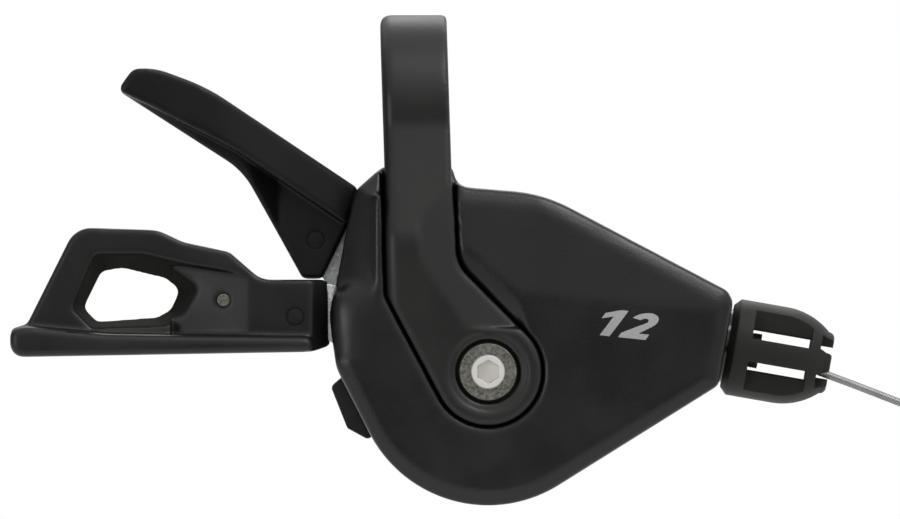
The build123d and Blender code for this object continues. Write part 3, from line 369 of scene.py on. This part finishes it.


# The third colour of each grained finish is the painted highlight on its edges.
finishes = {
    "cover_plastic": grained_finish(
        "grained_cover_black", grey(0.003), grey(0.0045), grey(0.006), 0.34, 3400, 0.03 * MM, 0.3 * MM, 0.45
    ),
    "band_alloy": grained_finish(
        "satin_band_black",
        (0.004, 0.004, 0.0035),
        (0.006, 0.006, 0.005),
        grey(0.007),
        0.42,
        5200,
        0.02 * MM,
        0.3 * MM,
        0.45,
    ),
    "lever_plastic": grained_finish(
        "satin_lever_black", grey(0.006), grey(0.009), grey(0.011), 0.4, 4200, 0.02 * MM, 0.3 * MM, 0.4
    ),
    "barrel_plastic": grained_finish(
        "barrel_black",
        (0.0095, 0.0095, 0.008),
        (0.013, 0.013, 0.0115),
        grey(0.015),
        0.55,
        3000,
        0.05 * MM,
        0.3 * MM,
        0.3,
    ),
    "neck_plastic": grained_finish(
        "gloss_neck_black", grey(0.002), grey(0.003), grey(0.006), 0.15, 6000, 0.005 * MM, 0.2 * MM
    ),
    "drum_plastic": grained_finish(
        "drum_grey", (0.44, 0.44, 0.42), (0.5, 0.5, 0.47), (0.55, 0.55, 0.52), 0.5, 3000, 0.02 * MM, 0.2 * MM
    ),
    "tie_plastic": grained_finish(
        "tie_black", grey(0.006), grey(0.012), grey(0.03), 0.4, 3000, 0.03 * MM, 0.2 * MM
    ),
    "bolt_steel": bolt_finish("bright_bolt_steel"),
    "screw_steel": metal_finish(
        "turned_screw_steel", (0.78, 0.78, 0.77), (0.92, 0.92, 0.9), 0.8, 0.4, 2200, 0.01 * MM, 0.15 * MM
    ),
    "plated_steel": metal_finish(
        "zinc_lever_plate", (0.74, 0.76, 0.74), (0.98, 1.0, 0.98), 0.85, 0.3, 1500, 0.02 * MM, 0.2 * MM
    ),
    "spring_steel": metal_finish(
        "drawn_spring_steel", (0.3, 0.3, 0.32), (0.42, 0.42, 0.44), 1.0, 0.3, 2600, 0.01 * MM, 0.1 * MM
    ),
    "wire_steel": wire_finish("stranded_wire_steel"),
    "nipple_brass": metal_finish(
        "nipple_brass_plain", (0.6, 0.42, 0.16), (0.75, 0.55, 0.24), 1.0, 0.3, 2200, 0.01 * MM, 0.15 * MM
    ),
}
# The lever plastic painted darker for the release pad: painted shade, a shaded copy of one material.
shaded_release_finish = grained_finish(
    "satin_release_black_shaded", grey(0.0035), grey(0.005), grey(0.008), 0.4, 4200, 0.02 * MM, 0.3 * MM, 0.28
)
# Window walls and pad marks: the pad's plastic made matte, and painted paler and olive: painted light.
lit_recess_finish = grained_finish(
    "matte_window_painted_light",
    (0.018, 0.018, 0.0155),
    (0.026, 0.026, 0.0225),
    grey(0.026),
    0.8,
    3000,
    0.05 * MM,
    0.3 * MM,
    0.05,
)
number_print = grained_finish(
    "number_silver", grey(0.42), grey(0.48), grey(0.46), 0.45, 4000, 0.01 * MM, 0.02 * MM
)


def dress(piece, material):
    """Give a whole piece one material."""
    piece.data.materials.clear()
    piece.data.materials.append(material)


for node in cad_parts.values():
    dress(node, finishes[node.data.materials[0].name])


# Pieces that follow a path or repeat

def link_piece(name, mesh):
    """New object at the origin that carries a finished mesh."""
    piece = bpy.data.objects.new(name, mesh)
    scene.collection.objects.link(piece)
    return piece


def grown_mesh(name, base, tree, values):
    """Plain mesh that a geometry tree makes from a base mesh."""
    holder = link_piece(name, base)
    modifier = holder.modifiers.new(name, "NODES")
    modifier.node_group = tree
    sockets = [item for item in tree.interface.items_tree if item.in_out == "INPUT"]
    labels = {socket.name: socket.identifier for socket in sockets}
    for label, value in values.items():
        modifier[labels[label]] = value
    graph = bpy.context.evaluated_depsgraph_get()
    mesh = bpy.data.meshes.new_from_object(holder.evaluated_get(graph))
    holder.modifiers.remove(modifier)
    bpy.data.objects.remove(holder)
    bpy.data.meshes.remove(base)
    return mesh


def make_wire_tree():
    """Stranded wire along a line: a section with one bump for each strand, turned with the lay."""
    tree, start, end = new_group(
        "GeometryNodeTree",
        "stranded_wire",
        {
            "Line": ("NodeSocketGeometry", None),
            "Diameter": ("NodeSocketFloat", WIRE_DIAMETER),
            "Lay": ("NodeSocketFloat", WIRE_LAY),
            "Strands": ("NodeSocketInt", WIRE_STRANDS),
            "Groove": ("NodeSocketFloat", 0.15),
            "Spacing": ("NodeSocketFloat", 0.4 * MM),
            "Material": ("NodeSocketMaterial", None),
        },
        {"Wire": "NodeSocketGeometry"},
    )
    sizes = start.outputs
    curve = add_node(tree, "GeometryNodeMeshToCurve", {"Mesh": sizes["Line"]})
    even = add_node(
        tree,
        "GeometryNodeResampleCurve",
        {"Curve": curve.outputs["Curve"], "Length": sizes["Spacing"]},
        mode="LENGTH",
    )
    travelled = add_node(tree, "GeometryNodeSplineParameter").outputs["Length"]
    turns = maths(tree, "DIVIDE", travelled, sizes["Lay"])
    tilted = add_node(
        tree,
        "GeometryNodeSetCurveTilt",
        {"Curve": even.outputs["Curve"], "Tilt": maths(tree, "MULTIPLY", turns, 2 * math.pi)},
    )
    round_section = add_node(
        tree,
        "GeometryNodeCurvePrimitiveCircle",
        {
            "Resolution": maths(tree, "MULTIPLY", sizes["Strands"], 2.0),
            "Radius": maths(tree, "DIVIDE", sizes["Diameter"], 2.0),
        },
        mode="RADIUS",
    )
    odd = maths(tree, "MODULO", add_node(tree, "GeometryNodeInputIndex").outputs["Index"], 2.0)
    shrink = maths(tree, "SUBTRACT", 1.0, maths(tree, "MULTIPLY", odd, sizes["Groove"]))
    grooved = add_node(
        tree,
        "ShaderNodeVectorMath",
        {0: add_node(tree, "GeometryNodeInputPosition").outputs["Position"], "Scale": shrink},
        operation="SCALE",
    )
    section = add_node(
        tree,
        "GeometryNodeSetPosition",
        {"Geometry": round_section.outputs["Curve"], "Position": grooved.outputs["Vector"]},
    )
    # Marks the groove points, where the wire's finish paints shade.
    marked = add_node(
        tree,
        "GeometryNodeStoreNamedAttribute",
        {"Geometry": section.outputs["Geometry"], "Name": "groove_painted_shade", "Value": odd},
        data_type="FLOAT",
        domain="POINT",
    )
    tube = add_node(
        tree,
        "GeometryNodeCurveToMesh",
        {"Curve": tilted.outputs["Curve"], "Profile Curve": marked.outputs["Geometry"], "Fill Caps": True},
    )
    real = add_node(tree, "GeometryNodeRealizeInstances", {"Geometry": tube.outputs["Mesh"]})
    dressed = add_node(
        tree,
        "GeometryNodeSetMaterial",
        {"Geometry": real.outputs["Geometry"], "Material": sizes["Material"]},
    )
    tree.links.new(dressed.outputs["Geometry"], end.inputs["Wire"])
    return tree


def make_ridge_tree():
    """Row of round ridges: one ring repeated along +Z with a pitch."""
    tree, start, end = new_group(
        "GeometryNodeTree",
        "round_ridges",
        {
            "Base": ("NodeSocketGeometry", None),
            "Rings": ("NodeSocketInt", THREAD_RINGS),
            "Pitch": ("NodeSocketFloat", THREAD_PITCH),
            "Radius": ("NodeSocketFloat", SCREW_RADIUS),
            "Depth": ("NodeSocketFloat", THREAD_DEPTH),
            "Material": ("NodeSocketMaterial", None),
        },
        {"Ridges": "NodeSocketGeometry"},
    )
    sizes = start.outputs
    step = add_node(tree, "ShaderNodeCombineXYZ", {"Z": sizes["Pitch"]})
    row = add_node(
        tree,
        "GeometryNodeMeshLine",
        {"Count": sizes["Rings"], "Offset": step.outputs["Vector"]},
        mode="OFFSET",
    )
    path = add_node(
        tree, "GeometryNodeCurvePrimitiveCircle", {"Resolution": 64, "Radius": sizes["Radius"]}, mode="RADIUS"
    )
    ridge = add_node(
        tree, "GeometryNodeCurvePrimitiveCircle", {"Resolution": 8, "Radius": sizes["Depth"]}, mode="RADIUS"
    )
    ring = add_node(
        tree,
        "GeometryNodeCurveToMesh",
        {"Curve": path.outputs["Curve"], "Profile Curve": ridge.outputs["Curve"]},
    )
    rings = add_node(
        tree,
        "GeometryNodeInstanceOnPoints",
        {"Points": row.outputs["Mesh"], "Instance": ring.outputs["Mesh"]},
    )
    real = add_node(tree, "GeometryNodeRealizeInstances", {"Geometry": rings.outputs["Instances"]})
    dressed = add_node(
        tree,
        "GeometryNodeSetMaterial",
        {"Geometry": real.outputs["Geometry"], "Material": sizes["Material"]},
    )
    tree.links.new(dressed.outputs["Geometry"], end.inputs["Ridges"])
    return tree


def finished(mesh):
    """Mesh whose faces all look outwards."""
    shell = bmesh.new()
    shell.from_mesh(mesh)
    bmesh.ops.recalc_face_normals(shell, faces=shell.faces)
    shell.to_mesh(mesh)
    shell.free()
    return mesh


def coil_places():
    """Places of the turns in the bundle, as (out from the middle, sideways), layer by layer."""
    places = []
    for layer in range(-3, 4):
        side = layer * WIRE_DIAMETER * math.sin(math.radians(60))
        shift = 0.5 * (layer % 2)
        row = [(step + shift) * WIRE_DIAMETER for step in range(-3, 3)]
        row = [out for out in row if math.hypot(out, side) < COIL_BUNDLE]
        if layer % 2:
            row.reverse()
        places.extend((out, side) for out in row)
    return places


def wire_points():
    """Control points of the wire: the route, then the turns of its coil."""
    points = list(WIRE_ROUTE)
    places = coil_places()
    swell = 2 / (1 + math.cos(math.pi / COIL_POINTS))  # the spline runs just inside its control points
    for step in range(COIL_TURNS * COIL_POINTS + 1):
        turn, part = divmod(step / COIL_POINTS, 1)
        here = places[int(turn)]
        there = places[min(int(turn) + 1, len(places) - 1)]
        out = here[0] + (there[0] - here[0]) * part
        side = here[1] + (there[1] - here[1]) * part
        angle = math.radians(COIL_START) - 2 * math.pi * step / COIL_POINTS
        radius = (COIL_RADIUS + out) * swell
        points.append(COIL_MIDDLE + Vector((radius * math.cos(angle), side, radius * math.sin(angle))))
    return points


def spline_line(name, points):
    """Points along a smooth NURBS spline with the given control points."""
    curve = bpy.data.curves.new(name, "CURVE")
    curve.dimensions = "3D"
    spline = curve.splines.new("NURBS")
    spline.points.add(len(points) - 1)
    for slot, point in zip(spline.points, points):
        slot.co = (*point, 1)
    spline.order_u = 3
    spline.use_endpoint_u = True
    spline.resolution_u = 4
    holder = bpy.data.objects.new(name, curve)
    scene.collection.objects.link(holder)
    graph = bpy.context.evaluated_depsgraph_get()
    mesh = bpy.data.meshes.new_from_object(holder.evaluated_get(graph))
    line = [vertex.co.copy() for vertex in mesh.vertices]
    bpy.data.objects.remove(holder)
    bpy.data.curves.remove(curve)
    bpy.data.meshes.remove(mesh)
    return line


def add_wire():
    """Bare shift wire from the barrel to the end of its coil."""
    line = spline_line("wire_route", wire_points())
    route = bpy.data.meshes.new("wire_line")
    route.from_pydata(line, [(index, index + 1) for index in range(len(line) - 1)], [])
    mesh = grown_mesh(
        "wire_growth",
        route,
        make_wire_tree(),
        {
            "Diameter": WIRE_DIAMETER,
            "Lay": WIRE_LAY,
            "Strands": WIRE_STRANDS,
            "Material": finishes["wire_steel"],
        },
    )
    wire = link_piece("shift_wire", finished(mesh))
    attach(wire, "housing")
    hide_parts("cable_wire", "cable_coil")


def add_thread():
    """Thread ridges on the free end of the adjuster screw, seen through the barrel's windows."""
    mesh = grown_mesh(
        "thread_growth",
        bpy.data.meshes.new("thread_base"),
        ridge_tree,
        {
            "Rings": THREAD_RINGS,
            "Pitch": THREAD_PITCH,
            "Radius": SCREW_RADIUS - THREAD_DEPTH / 2,
            "Depth": THREAD_DEPTH,
            "Material": finishes["screw_steel"],
        },
    )
    lengthwise = Matrix.Rotation(-math.pi / 2, 4, "Y")
    tilted = Matrix.Rotation(CABLE_TILT, 4, "Y")
    inset = Matrix.Translation((0, 0, THREAD_DEPTH))
    mesh.transform(Matrix.Translation(SCREW_END) @ tilted @ lengthwise @ inset)
    thread = link_piece("screw_thread", finished(mesh))
    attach(thread, "adjuster_screw")


def applied(name, mesh, steps):
    """Mesh after some modifiers, given as (kind, settings)."""
    holder = link_piece(name, mesh)
    for kind, settings in steps:
        modifier = holder.modifiers.new(kind.lower(), kind)
        for label, value in settings.items():
            setattr(modifier, label, value)
    graph = bpy.context.evaluated_depsgraph_get()
    result = bpy.data.meshes.new_from_object(holder.evaluated_get(graph))
    bpy.data.objects.remove(holder)
    bpy.data.meshes.remove(mesh)
    return result


def within(point, low, high):
    """Whether a point lies in a box that is given in millimetres."""
    return all(start * MM < place < end * MM for start, place, end in zip(low, point, high))


def blend_zone(mesh, low, high, passes, sideways):
    """Blend the facets of a front face inside a box, given in millimetres, by their depth or every way."""
    skin = bmesh.new()
    skin.from_mesh(mesh)
    skin.normal_update()
    inside = [
        vertex
        for vertex in skin.verts
        if vertex.normal.y < ZONE_FACING and within(vertex.co, low, high)
    ]
    for _ in range(passes):
        bmesh.ops.smooth_vert(
            skin, verts=inside, factor=0.5, use_axis_x=sideways, use_axis_y=True, use_axis_z=sideways
        )
    skin.to_mesh(mesh)
    skin.free()


def press_bowl(mesh):
    """Bevel along the round bottom of the cover's front."""
    for vertex in mesh.vertices:
        out = vertex.co - MAIN_AXIS
        angle = math.degrees(math.atan2(out.z, out.x)) % 360
        inward = math.hypot(out.x, out.z) - (BOWL_RADIUS - BOWL_BEVEL)
        if BOWL_START < angle < BOWL_END and inward > 0:
            depth = COVER_FACE_Y - MOULD_SWELL + inward * BOWL_SLOPE
            vertex.co.y = max(vertex.co.y, depth)


def fill_channel(mesh):
    """Widen the band's arm towards the walls of its channel in the cover."""
    moves = []
    for vertex in mesh.vertices:
        out = vertex.co - MAIN_AXIS
        share = min(max((ARM_TOP - vertex.co.z) / ARM_BLEND, 0), 1)
        if vertex.co.y < ARM_BACK and math.hypot(out.x, out.z) > BOLT_ROOM:
            moves.append((vertex.index, Vector((vertex.normal.x, 0, vertex.normal.z)) * share * ARM_SWELL))
    for index, move in moves:
        mesh.vertices[index].co += move


def mould(name, body, slot, voxel, passes, zones=(), window=None, finish=None, press=None):
    """Moulded copy of a CAD piece, with its corners and edges softened as the tool leaves them."""
    even = {"mode": "VOXEL", "voxel_size": voxel}
    full = {"strength": MOULD_SWELL, "mid_level": 0.0}
    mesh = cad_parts[name].data.copy()
    joined = {"merge_threshold": MOULD_WELD}
    steps = [("WELD", joined), ("REMESH", even), ("SMOOTH", {"iterations": passes}), ("DISPLACE", full)]
    mesh = applied(name + "_even", mesh, steps)
    if press:
        press(mesh)
    for zone in zones:
        blend_zone(mesh, *zone)
        mesh = applied(name + "_blend", mesh, [("REMESH", even), ("SMOOTH", {"iterations": ZONE_PASSES})])
    mesh = applied(name + "_light", mesh, [("DECIMATE", {"ratio": MOULD_SHARE})])
    mesh.shade_smooth()
    piece = link_piece("moulded_" + name, mesh)
    dress(piece, finish or finishes[slot])
    # The window's walls take the paler copy of the pad's plastic: painted light.
    if window:
        mesh.materials.append(lit_recess_finish)
        for face in mesh.polygons:
            wall = abs(face.normal.y) < STEEPEST_FACE and within(face.center, *window)
            face.material_index = int(wall)
    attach(piece, body)
    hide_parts(name)
    return piece


def add_mark(name, pad, body, place):
    """Round moulded mark on the front of a thumb pad, seated on its face."""
    corners = [vertex.co for vertex in pad.data.vertices]
    skin = BVHTree.FromPolygons(corners, [face.vertices for face in pad.data.polygons])
    seat, facing = skin.ray_cast(place, Vector((0, 1, 0)))[:2]
    # The mark takes the paler copy of the pad's plastic: painted light on its ring.
    mesh = grown_mesh(
        name + "_growth",
        bpy.data.meshes.new(name + "_base"),
        ridge_tree,
        {"Rings": 1, "Radius": MARK_RADIUS, "Depth": MARK_DEPTH, "Material": lit_recess_finish},
    )
    upright = facing.to_track_quat("Z", "Y").to_matrix().to_4x4()
    mesh.transform(Matrix.Translation(seat) @ upright)
    mark = link_piece(name, finished(mesh))
    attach(mark, body)


ridge_tree = make_ridge_tree()
add_wire()
add_thread()
main_pad = mould("main_thumb_pad", "main_lever", "lever_plastic", 0.22 * MM, 24, window=WINDOW)
# The release pad takes the darker copy of the lever plastic: painted shade.
release_pad = mould(
    "release_thumb_pad", "release_lever", "lever_plastic", 0.22 * MM, 24, finish=shaded_release_finish
)
mould("cover", "housing", "cover_plastic", 0.28 * MM, 10, [CHEEK, CHEEK_FOLD], press=press_bowl)
mould("clamp_band", "housing", "band_alloy", 0.25 * MM, 20, press=fill_channel)
add_mark("main_pad_mark", main_pad, "main_lever", photo_point(*MAIN_MARK_PIXEL, MARK_START_Y))
add_mark("release_pad_mark", release_pad, "release_lever", photo_point(*RELEASE_MARK_PIXEL, MARK_START_Y))

# Number on the cover, in plain slanted strokes
NUMBER_HEIGHT = 4.1 * MM
NUMBER_THICKNESS = 0.1 * MM  # half of it in the cover
NUMBER_SLANT = 0.6
NUMBER_STRETCH = 1.54
NUMBER_TURN = math.radians(-6)
NUMBER_PIXEL = (625, 324)


def arc_points(middle, radius, start, end, steps=14):
    """Points along an arc, in degrees."""
    angles = [math.radians(start + (end - start) * step / steps) for step in range(steps + 1)]
    return [(middle[0] + radius * math.cos(angle), middle[1] + radius * math.sin(angle)) for angle in angles]


DIGIT_ONE = [(0.3, 0), (0.54, 0), (0.54, 1), (0.36, 1), (0.06, 0.84), (0.06, 0.62), (0.3, 0.74)]
DIGIT_TWO = [
    *arc_points((0.34, 0.68), 0.32, 165, -35),
    (0.42, 0.21),
    (0.68, 0.21),
    (0.68, 0),
    (0.02, 0),
    (0.02, 0.18),
    *arc_points((0.34, 0.68), 0.1, -35, 165),
]


def add_number():
    """Printed number, lying on the cover's front face."""
    print_shape = bmesh.new()
    for outline, offset in ((DIGIT_ONE, 0.0), (DIGIT_TWO, 0.72)):
        corners = []
        for across, up in outline:
            slanted = (across + offset - 0.7) * NUMBER_STRETCH + (up - 0.5) * NUMBER_SLANT
            corners.append(print_shape.verts.new((slanted, up - 0.5, 0)))
        print_shape.faces.new(corners)
    bmesh.ops.scale(print_shape, vec=(NUMBER_HEIGHT,) * 3, verts=print_shape.verts)
    grown = bmesh.ops.extrude_face_region(print_shape, geom=print_shape.faces[:])
    raised = [item for item in grown["geom"] if isinstance(item, bmesh.types.BMVert)]
    bmesh.ops.translate(print_shape, vec=(0, 0, NUMBER_THICKNESS), verts=raised)
    bmesh.ops.recalc_face_normals(print_shape, faces=print_shape.faces)
    mesh = bpy.data.meshes.new("cover_number")
    print_shape.to_mesh(mesh)
    print_shape.free()
    upright = Matrix.Rotation(math.pi / 2, 4, "X")
    turned = Matrix.Rotation(NUMBER_TURN, 4, "Z")
    place = photo_point(*NUMBER_PIXEL, COVER_FACE_Y - MOULD_SWELL + NUMBER_THICKNESS / 2)
    mesh.transform(Matrix.Translation(place) @ upright @ turned)
    piece = link_piece("cover_number", mesh)
    dress(piece, number_print)
    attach(piece, "housing")


add_number()

# Floor, light and background
FLOOR_RADIUS = 0.45
AMBIENT = 0.3
FLOOR_FADE = (-0.17, -0.09)  # depths between which the floor pales as the surfaces mirror it
FRONT_SHADE = 0.03  # of the open side in front, as the surfaces mirror it
PALE_SIDE = (0.4, 0, 0.917)  # heading of the palest surroundings, above and to the right
PALE_FADE = (-0.1, 0.36)  # heights along that heading, between which the surroundings pale
LAMP_TARGET = Vector((5, -10, -25)) * MM


def add_floor():
    """Pale round floor under the lowest point of the part."""
    low, high = cad_box
    middle = Vector(((low[0] + high[0]) / 2, (low[1] + high[1]) / 2, low[2] - 0.0005))
    disc = bmesh.new()
    bmesh.ops.create_circle(disc, cap_ends=True, radius=FLOOR_RADIUS, segments=96)
    bmesh.ops.translate(disc, vec=middle, verts=disc.verts)
    mesh = bpy.data.meshes.new("floor")
    disc.to_mesh(mesh)
    disc.free()
    floor = link_piece("floor", mesh)
    material, tree, shader = new_material("floor_paper")
    grain = use_group(tree, grain_group, {"Grain Scale": 400.0, "Mottle Scale": 8.0})
    mottle = scaled(tree, grain.outputs["Mottle"], 0.0, 1.0)
    tree.links.new(blend_colour(tree, mottle, grey(0.86), grey(0.9)), shader.inputs["Base Color"])
    shader.inputs["Roughness"].default_value = 0.8
    ray = add_node(tree, "ShaderNodeLightPath").outputs
    mirrored = maths(tree, "MAXIMUM", ray["Is Glossy Ray"], ray["Is Transmission Ray"])
    place = add_node(tree, "ShaderNodeTexCoord").outputs["Object"]
    ahead = add_node(tree, "ShaderNodeSeparateXYZ", {"Vector": place}).outputs["Y"]
    near = scaled(tree, ahead, FRONT_SHADE, 1.0, *FLOOR_FADE)
    shown = add_node(tree, "ShaderNodeEmission", {"Color": (1, 1, 1, 1), "Strength": near})
    paper = add_node(
        tree, "ShaderNodeMixShader", {0: mirrored, 1: shader.outputs["BSDF"], 2: shown.outputs["Emission"]}
    )
    tree.links.new(paper.outputs["Shader"], tree.nodes["Material Output"].inputs["Surface"])
    dress(floor, material)


def add_lamp(name, place, target, size, power):
    """Soft square lamp that faces a point."""
    lamp = bpy.data.lights.new(name, "AREA")
    lamp.size = size
    lamp.energy = power
    holder = bpy.data.objects.new(name, lamp)
    holder.location = place
    holder.rotation_euler = (Vector(target) - Vector(place)).to_track_quat("-Z", "Y").to_euler()
    scene.collection.objects.link(holder)


def add_world():
    """Pale surroundings, white to the camera, and in mirrorings paler towards the top right."""
    world = bpy.data.worlds.new("surroundings")
    world.use_nodes = True
    scene.world = world
    tree = world.node_tree
    tree.nodes.clear()
    ray = add_node(tree, "ShaderNodeLightPath").outputs
    heading = add_node(tree, "ShaderNodeTexCoord").outputs["Generated"]
    rise = add_node(tree, "ShaderNodeVectorMath", {0: heading, 1: PALE_SIDE}, operation="DOT_PRODUCT")
    mirrored = scaled(tree, rise.outputs["Value"], FRONT_SHADE, 1.0, *PALE_FADE)
    glossy = maths(tree, "MULTIPLY", ray["Is Glossy Ray"], mirrored)
    shown = maths(tree, "MAXIMUM", ray["Is Camera Ray"], ray["Is Transmission Ray"])
    strength = maths(tree, "MAXIMUM", maths(tree, "MAXIMUM", shown, glossy), AMBIENT)
    light = add_node(tree, "ShaderNodeBackground", {"Color": (1, 1, 1, 1), "Strength": strength})
    end = add_node(tree, "ShaderNodeOutputWorld")
    tree.links.new(light.outputs["Background"], end.inputs["Surface"])


add_floor()
add_lamp("key", (0.45, -0.6, 0.9), LAMP_TARGET, 0.5, 5.0)
add_lamp("fill", (-0.6, -0.8, -0.02), LAMP_TARGET, 0.3, 1.5)
add_lamp("back", (0.1, 0.9, 0.8), LAMP_TARGET, 0.6, 2.0)
add_world()
scene.view_settings.view_transform = "Standard"
